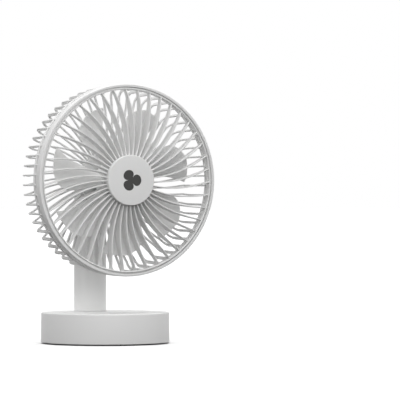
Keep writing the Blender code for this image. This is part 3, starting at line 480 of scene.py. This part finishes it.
def make_column():
    """The round column with its domed, slotted top, and the plugs over the tilt bolt's ends."""
    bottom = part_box("column")[0].z
    hollow = COLUMN_RADIUS - COLUMN_WALL
    shoulder = HUB_Z + DOME_RISE
    opening = math.acos(CABLE_HOLE / COLUMN_RADIUS)
    dome = []
    for k in range(15):
        rise = opening * k / 14
        dome.append((COLUMN_RADIUS * math.cos(rise), shoulder + COLUMN_RADIUS * math.sin(rise)))
    outline = [(CABLE_HOLE, bottom), (COLUMN_RADIUS, bottom)] + dome + [
        (CABLE_HOLE, CAVITY[1]), (hollow, CAVITY[1]), (hollow, CAVITY[0]), (CABLE_HOLE, CAVITY[0])]
    column = piece("column_cover", lathe(bmesh.new(), outline, upright(0.0, COLUMN_Y), 128), "stand",
                   ["column"], WHITE)
    reach = 2 * COLUMN_RADIUS
    steps = [("DIFFERENCE", block((-SLOT_HALF, COLUMN_Y - reach, SLOT_FLOOR),
                                  (SLOT_HALF, COLUMN_Y + SLOT_REACH, HUB_Z + reach))),
             ("DIFFERENCE", rod(BOLT_HOLE, -reach, reach, round_tilt, 32)),
             ("DIFFERENCE", rod(CAP_SEAT, CAP_SEAT_FLOOR, reach, round_tilt, 48)),
             ("DIFFERENCE", rod(CAP_SEAT, -reach, -CAP_SEAT_FLOOR, round_tilt, 48))]
    for number in range(1, 4):
        spot = middle_of(f"column_screw_{number}")
        steps.append(("DIFFERENCE", rod(SCREW_HOLE, 0.0, bottom + COLUMN_SCREW_DEPTH,
                                        upright(spot.x, spot.y), 16)))
    carve(column, steps, edge=0.35 * MM)
    for side in ("left", "right"):
        low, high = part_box(f"pivot_cap_{side}")
        radius = (high.z - low.z) / 2.0
        inner, outer = sorted((low.x, high.x), key=abs)
        rim = math.copysign(0.5 * MM, outer)
        outline = [(0.0, inner), (radius, inner), (radius, outer - rim),
                   (radius - 0.2 * MM, outer - 0.3 * rim), (radius - 0.5 * MM, outer),
                   (radius - 1.0 * MM, outer), (radius - 1.6 * MM, outer - 0.6 * rim),
                   (0.0, outer - 0.6 * rim)]
        piece(f"pivot_plug_{side}", lathe(bmesh.new(), outline, round_tilt, 48), "stand",
              [f"pivot_cap_{side}"], WHITE)


# ---- the head's cage -------------------------------------------------------------------------------------
def make_rear_grille():
    """The rim, one hoop, the hub, and ribs that run back, turn in at an elbow and reach the hub."""
    back = RING_FRONT + RIM_DEPTH
    rib_inner = RING_RADIUS - RIB_DEPTH
    rim_inner = RING_OUTER + GAP
    bm = bmesh.new()
    lathe(bm, filleted([
        (RING_RADIUS, RING_FRONT, 0.8 * MM), (RING_RADIUS, back, 0.3 * MM), (rib_inner, back, 0.0),
        (rib_inner, back - 1.5 * MM, 0.0), (rim_inner, back - 1.5 * MM, 0.0),
        (rim_inner, RING_FRONT, 0.3 * MM)], closed=True), round_fan, 240)
    lathe(bm, filleted([
        (RING_RADIUS, HOOP_Y[0], 0.4 * MM), (RING_RADIUS, HOOP_Y[1], 0.4 * MM),
        (rib_inner, HOOP_Y[1], 0.4 * MM), (rib_inner, HOOP_Y[0], 0.4 * MM)],
        closed=True, steps=3), round_fan, 180)
    lathe(bm, filleted([
        (REAR_HUB_OPENING, REAR_HUB[0], 0.2 * MM), (REAR_HUB_OPENING, REAR_HUB[1], 0.2 * MM),
        (REAR_HUB_RADIUS, REAR_HUB[1], 0.6 * MM), (REAR_HUB_RADIUS, REAR_HUB[0], 0.4 * MM)],
        closed=True), round_fan, 120)

    centre = (ELBOW_OUTER - RIB_DEPTH / 2 - ELBOW_RADIUS, ELBOW_Y)
    path = [(RING_RADIUS - RIB_DEPTH / 2, y, 0.0, 0.0) for y in (back - 0.5 * MM, HOOP_Y[0], HOOP_Y[1])]
    for step in range(9):
        lean = ELBOW_TURN * step / 8
        path.append((centre[0] + ELBOW_RADIUS * math.cos(lean),
                     centre[1] + ELBOW_RADIUS * math.sin(lean), lean, 0.0))
    last = path[-1]
    hub_end = (REAR_HUB_RADIUS - 0.8 * MM, (REAR_HUB[0] + REAR_HUB[1]) / 2)
    for step in range(1, REAR_STEPS + 1):
        share = step / REAR_STEPS
        path.append((last[0] + (hub_end[0] - last[0]) * share,
                     last[1] + (hub_end[1] - last[1]) * share, ELBOW_TURN, share))
    section = soft_box(RIB_DEPTH / 2, RIB_HALF, 0.45 * MM)
    for k in range(RIB_COUNT):
        start = RIB_PHASE + TURN * k / RIB_COUNT
        loops = []
        for radius, depth, lean, share in path:
            angle = start + REAR_SWEEP * share
            loops.append([round_fan(radius + u * math.cos(lean), angle + v / radius,
                                    depth + u * math.sin(lean)) for u, v in section])
        skin(bm, loops)
    piece("rear_cage", bm, "head", ["rear_grille"], WHITE)


def vane_section(fraction):
    """A vane's front edge, depth and share of the sweep, at a fraction of the way to the ring."""
    fall = 0.15 * fraction + 0.85 * fraction ** 8
    front = FRONT_HUB[0] + (FRONT_RING[0] + RING_LIP - FRONT_HUB[0]) * fall
    taper = max(0.0, (fraction - TAPER_START) / (1.0 - TAPER_START))
    depth = VANE_DEPTH - (VANE_DEPTH - VANE_TIP) * taper ** 2 * (3.0 - 2.0 * taper)
    share = 1.0 - (2.0 * fraction ** 2 - fraction ** 3)
    return front, depth, share


def make_front_grille():
    """The ring with its step, curved vanes set on edge, and the hub under the cap."""
    bm = bmesh.new()
    ring_front = FRONT_RING[0] + RING_LIP
    step_front = FRONT_RING[0] + STEP_DEPTH
    lathe(bm, filleted([
        (RING_INNER, ring_front, 0.4 * MM), (RING_INNER, FRONT_RING[1], 0.3 * MM),
        (RING_OUTER, FRONT_RING[1], 0.2 * MM), (RING_OUTER, step_front, 0.15 * MM),
        (STEP_RADIUS, step_front, 0.1 * MM), (STEP_RADIUS, FRONT_RING[0], 0.3 * MM)],
        closed=True, steps=4), round_fan, 240)
    plate_back = FRONT_HUB[0] + 1.8 * MM
    lathe(bm, filleted([
        (FRONT_HUB_RADIUS, FRONT_HUB[0], 0.5 * MM), (FRONT_HUB_RADIUS, FRONT_HUB[1], 0.3 * MM),
        (FRONT_HUB_RADIUS - WALL, FRONT_HUB[1], 0.3 * MM), (FRONT_HUB_RADIUS - WALL, plate_back, 0.0),
        (CAP_STEM + GAP, plate_back, 0.0), (CAP_STEM + GAP, FRONT_HUB[0], 0.0)],
        closed=True), round_fan, 96)
    start_radius = FRONT_HUB_RADIUS - 0.8 * MM
    end_radius = RING_INNER + 0.8 * MM
    for k in range(VANE_COUNT):
        start = VANE_PHASE + TURN * k / VANE_COUNT
        loops = []
        for step in range(VANE_STEPS + 1):
            radius = start_radius + (end_radius - start_radius) * step / VANE_STEPS
            fraction = (radius - FRONT_HUB_RADIUS) / (RING_INNER - FRONT_HUB_RADIUS)
            front, depth, share = vane_section(min(1.0, max(0.0, fraction)))
            angle = start + VANE_SWEEP * share
            loops.append([round_fan(radius, angle + v / radius, front + depth / 2 + u)
                          for u, v in soft_box(depth / 2, VANE_HALF, 0.4 * MM)])
        skin(bm, loops)
    piece("front_cage", bm, "head", ["front_grille"], WHITE)


def emblem_outline(radius):
    """A plain three-blade fan sign: an outline of flat points."""
    points = []
    for k in range(96):
        angle = TURN * k / 96
        lobe = 0.5 + 0.5 * math.cos(3.0 * angle)
        reach = radius * (0.30 + 0.70 * lobe ** 0.75)
        twisted = angle + 0.30 * math.sin(3.0 * angle)
        points.append((reach * math.cos(twisted), reach * math.sin(twisted)))
    return points


def flat_on_fan(x, z, depth):
    """A flat point (x, z), seen from the front with z downwards, at a depth."""
    return Vector((x, depth, HUB_Z - z))


def make_cap():
    """The round cap, with the fan sign inlaid."""
    cap_back = FRONT_HUB[0] - GAP
    outline = filleted([
        (0.0, CAP_FRONT, 0.0), (CAP_RADIUS, CAP_FRONT, 0.7 * MM), (CAP_RADIUS, cap_back, 0.2 * MM),
        (CAP_STEM, cap_back, 0.0), (CAP_STEM, cap_back + 3.2 * MM, 0.0), (0.0, cap_back + 3.2 * MM, 0.0)])
    cap = piece("cap_face", lathe(bmesh.new(), outline, round_fan, 128), "head",
                ["hub_cap"], WHITE)
    recess = prism(emblem_outline(EMBLEM_RADIUS), CAP_FRONT - MM, CAP_FRONT + EMBLEM_RECESS, flat_on_fan)
    carve(cap, [("DIFFERENCE", recess)])
    sign = prism(emblem_outline(EMBLEM_RADIUS - 0.12 * MM), CAP_FRONT + 0.1 * MM,
                 CAP_FRONT + EMBLEM_RECESS - 0.1 * MM, flat_on_fan)
    piece("fan_sign", sign, "head", ["cap_emblem"], DARK)


# ---- the motor's bracket and cover ---------------------------------------------------------------------
def screw_holes(low, high):
    """Cutters for the screws that hold the cover to the bracket."""
    cutters = []
    for number in range(1, 4):
        spot = middle_of(f"housing_screw_{number}")
        cutters.append(("DIFFERENCE", rod(SCREW_HOLE, low, high, along_fan(spot.x, spot.z), 16)))
    return cutters


def make_bracket():
    """The plate in the rear hub, and the tube that holds the shaft's two bearings."""
    low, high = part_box("motor_bracket")
    front_seat, rear_seat = low.y + BEARING_WIDTH, high.y - BEARING_WIDTH
    plate_back = REAR_HUB[0] - GAP
    outline = filleted([
        (BEARING_SEAT, low.y, 0.0), (BRACKET_TUBE, low.y, 0.0), (BRACKET_TUBE, BRACKET_FRONT, 0.0),
        (REAR_HUB_RADIUS, BRACKET_FRONT, 0.6 * MM), (REAR_HUB_RADIUS, plate_back, 0.2 * MM),
        (REAR_HUB_OPENING - GAP, plate_back, 0.0), (REAR_HUB_OPENING - GAP, high.y, 0.0),
        (BEARING_SEAT, high.y, 0.0), (BEARING_SEAT, rear_seat, 0.0), (BEARING_SHOULDER, rear_seat, 0.0),
        (BEARING_SHOULDER, front_seat, 0.0), (BEARING_SEAT, front_seat, 0.0)], closed=True)
    bracket = piece("bracket_plate", lathe(bmesh.new(), outline, round_fan, 96), "head",
                    ["motor_bracket"], WHITE)
    carve(bracket, screw_holes(-10.0 * MM, 10.0 * MM))


def make_housing():
    """The domed cover behind the cage, with the lug that hangs the head on the column."""
    front = REAR_HUB[1] + GAP
    outline = filleted([
        (0.0, 14.6 * MM, 0.0), (13.5 * MM, 13.7 * MM, 4.0 * MM), (19.6 * MM, 11.0 * MM, 2.0 * MM),
        (22.3 * MM, 8.0 * MM, 1.0 * MM), (22.3 * MM, front, 0.0), (24.5 * MM, front, 0.3 * MM),
        (24.5 * MM, 8.0 * MM, 3.0 * MM), (21.5 * MM, 12.6 * MM, 2.0 * MM), (15.0 * MM, 15.8 * MM, 6.0 * MM),
        (0.0, 16.8 * MM, 0.0)])
    housing = piece("motor_cover", lathe(bmesh.new(), outline, round_fan, 128), "head",
                    ["motor_housing"], WHITE)
    steps = []
    for number in range(1, 4):
        spot = middle_of(f"housing_screw_{number}")
        steps.append(("UNION", rod(HOUSING_BOSS, front, HOUSING_BOSS_END, along_fan(spot.x, spot.z), 24)))
    steps += screw_holes(0.0, HOUSING_SCREW_END)
    end = [(COLUMN_Y + LUG_RADIUS * math.cos(a), LUG_RADIUS * math.sin(a))
           for a in (math.pi / 2 - math.pi * k / 24 for k in range(25))]
    lug = [(LUG_ROOT, LUG_RADIUS)] + end + [(LUG_ROOT, -LUG_RADIUS)]
    steps.append(("UNION", prism(lug, -LUG_HALF, LUG_HALF, lambda y, z, x: Vector((x, y, HUB_Z + z)))))
    steps.append(("DIFFERENCE", rod(BOLT_HOLE, -2 * LUG_HALF, 2 * LUG_HALF, round_tilt, 32)))
    carve(housing, steps, edge=0.4 * MM)


# ---- what spins ------------------------------------------------------------------------------------------
def blade_edges(radius):
    """Angles of a blade's trailing and leading edge at a radius. The leading edge is to the rear."""
    corner = max(0.0, (radius - CORNER_START) / (BLADE_TIP - CORNER_START))
    curl = max(0.0, (radius - CURL_START) / (BLADE_TIP - CURL_START))
    trailing = TRAILING[0] + TRAILING[1] * corner ** 3
    leading = LEADING[0] + LEADING[1] * curl ** 1.5
    return math.radians(trailing), math.radians(leading)


def blade_point(turn, share, across, offset):
    """A point on a blade: share runs from root to tip, across from the front edge to the rear edge."""
    root = IMPELLER_HUB - 1.0 * MM
    radius = root + share * (BLADE_TIP - root)
    trailing, leading = blade_edges(radius)
    half_depth = BLADE_REACH - REACH_LOSS * share
    angle = turn + trailing + (leading - trailing) * (across + 1.0) / 2.0
    depth = BLADE_MIDDLE + half_depth * (across + BLADE_CAMBER * (across ** 2 - 1.0)) + offset
    reach = radius - TIP_TRIM * share * max(0.0, across) ** 4
    return round_fan(reach, angle, depth)


def add_blade(bm, turn):
    """A wide, cambered blade with round edges, its root buried in the hub's wall."""
    shares = [1.0 - (1.0 - i / 22) ** 1.6 for i in range(22)] + [0.993, 0.998, 1.0]
    fullness = [1.0] * 22 + [0.85, 0.6, 0.3]
    steps = 18
    crossings = [math.sin(math.pi / 2 * (2.0 * j / steps - 1.0)) for j in range(steps + 1)]
    loops = []
    for share, full in zip(shares, fullness):
        front, back = [], []
        for across in crossings:
            half = full * BLADE_THICKNESS / 2 * max(0.0, 1.0 - across ** 12) ** 0.5
            front.append(blade_point(turn, share, across, -half))
            back.append(blade_point(turn, share, across, half))
        loops.append(front + back[-2:0:-1])
    skin(bm, loops)


def make_impeller():
    """The hub, a cup that opens to the rear with a boss for the shaft, and seven blades."""
    front, back = IMPELLER
    wall_inner = IMPELLER_HUB - 1.8 * MM
    plate_back = front + WALL
    boss, boss_back = 4.5 * MM, ROTOR_FRONT - 2.2 * MM
    bm = bmesh.new()
    lathe(bm, filleted([
        (SHAFT_BORE, front, 0.0), (IMPELLER_HUB, front, 2.0 * MM), (IMPELLER_HUB, back, 0.2 * MM),
        (wall_inner, back, 0.0), (wall_inner, plate_back, 0.0), (boss, plate_back, 0.0),
        (boss, boss_back, 0.0), (SHAFT_BORE, boss_back, 0.0)], closed=True), round_fan, 112)
    for k in range(BLADE_COUNT):
        add_blade(bm, TURN * k / BLADE_COUNT)
    # The blades take the lighter copy of the white plastic, which is painted light.
    piece("impeller_blades", bm, "impeller", ["impeller"], BLADE_PAINTED_LIGHT)


# ---- stage, light and camera -----------------------------------------------------------------------------
FLOOR_RADIUS = 40.0
BACKDROP = 1.0
TENT_STRENGTH = 1.8
TENT_LIGHT = (                    # sine of the elevation, level
    (-0.02, 0.0), (0.0, 0.50), (0.30, 0.50), (0.40, 0.10), (0.60, 0.10), (0.68, 1.0), (1.0, 1.0))
SOFTBOX_POWER = 2.3
SOFTBOX_SIZE = 0.4
SOFTBOX_AT = (-0.30, -0.90, 0.42)
SOFTBOX_AIM = (0.0, 0.0, 0.16)


def make_floor():
    """A wide disc of pale paper, which throws no light back up at the fan."""
    bm = bmesh.new()
    bmesh.ops.create_circle(bm, cap_ends=True, segments=64, radius=FLOOR_RADIUS)
    mesh = bpy.data.meshes.new("floor")
    bm.to_mesh(mesh)
    bm.free()
    mesh.materials.append(surface("floor_paper", (0.98, 0.98, 0.98), 0.85, mottle=0.004, grain=300.0,
                                  relief=0.01, specular=0.0))
    floor = bpy.data.objects.new("floor", mesh)
    bpy.context.scene.collection.objects.link(floor)
    floor.visible_diffuse = False


def make_world():
    """A light tent: bright overhead and round the horizon, dimmer between, dark below.

    The camera itself sees a plain pale backdrop.
    """
    world = bpy.data.worlds.new("studio")
    bpy.context.scene.world = world
    world.use_nodes = True
    tree = world.node_tree
    tent = tree.nodes["Background"]
    tent.inputs["Strength"].default_value = TENT_STRENGTH
    backdrop = add_node(tree, "ShaderNodeBackground", Color=(*[BACKDROP] * 3, 1.0), Strength=1.0)
    where = tree.nodes.new("ShaderNodeTexCoord")
    split = tree.nodes.new("ShaderNodeSeparateXYZ")
    height = tree.nodes.new("ShaderNodeMapRange")
    height.inputs["From Min"].default_value = -1.0
    tree.links.new(where.outputs["Generated"], split.inputs["Vector"])
    tree.links.new(split.outputs["Z"], height.inputs["Value"])
    ramp = tree.nodes.new("ShaderNodeValToRGB")
    stops = ramp.color_ramp.elements
    while len(stops) < len(TENT_LIGHT):
        stops.new(0.5)
    for stop, (sine, level) in zip(stops, TENT_LIGHT):
        stop.position = (sine + 1.0) / 2.0
        stop.color = (level, level, level, 1.0)
    tree.links.new(height.outputs["Result"], ramp.inputs["Fac"])
    tree.links.new(ramp.outputs["Color"], tent.inputs["Color"])
    path = tree.nodes.new("ShaderNodeLightPath")
    mix = tree.nodes.new("ShaderNodeMixShader")
    tree.links.new(path.outputs["Is Camera Ray"], mix.inputs["Fac"])
    tree.links.new(tent.outputs["Background"], mix.inputs[1])
    tree.links.new(backdrop.outputs["Background"], mix.inputs[2])
    tree.links.new(mix.outputs["Shader"], tree.nodes["World Output"].inputs["Surface"])


def add_softbox(name, power, size, at, aim):
    """A soft square light that shines from a place towards another. The camera doesn't see it."""
    light = bpy.data.lights.new(name, "AREA")
    light.energy = power
    light.size = size
    obj = bpy.data.objects.new(name, light)
    bpy.context.scene.collection.objects.link(obj)
    obj.location = at
    obj.rotation_euler = (Vector(aim) - Vector(at)).to_track_quat("-Z", "Y").to_euler()
    obj.visible_camera = False


def make_camera():
    """A long lens three metres away, level with the middle of the fan, with space on the right."""
    azimuth = math.radians(-24.2)
    distance, height, aside = 3.0, 0.1405, 0.0931
    shown_width = 0.3928
    camera = bpy.data.cameras.new("camera")
    camera.sensor_width = 36.0
    camera.lens = camera.sensor_width * distance / shown_width
    obj = bpy.data.objects.new("camera", camera)
    bpy.context.scene.collection.objects.link(obj)
    obj.location = (math.sin(azimuth) * distance, -math.cos(azimuth) * distance, height)
    aim = Vector((math.cos(azimuth) * aside, math.sin(azimuth) * aside, height))
    obj.rotation_euler = (aim - obj.location).to_track_quat("-Z", "Y").to_euler()
    bpy.context.scene.camera = obj


make_camera()
make_world()
make_floor()
add_softbox("front_softbox", SOFTBOX_POWER, SOFTBOX_SIZE, SOFTBOX_AT, SOFTBOX_AIM)
bpy.context.scene.view_settings.view_transform = "Standard"

dress_cad()
make_base()
make_feet()
make_button()
make_column()
make_rear_grille()
make_front_grille()
make_cap()
make_bracket()
make_housing()
make_impeller()
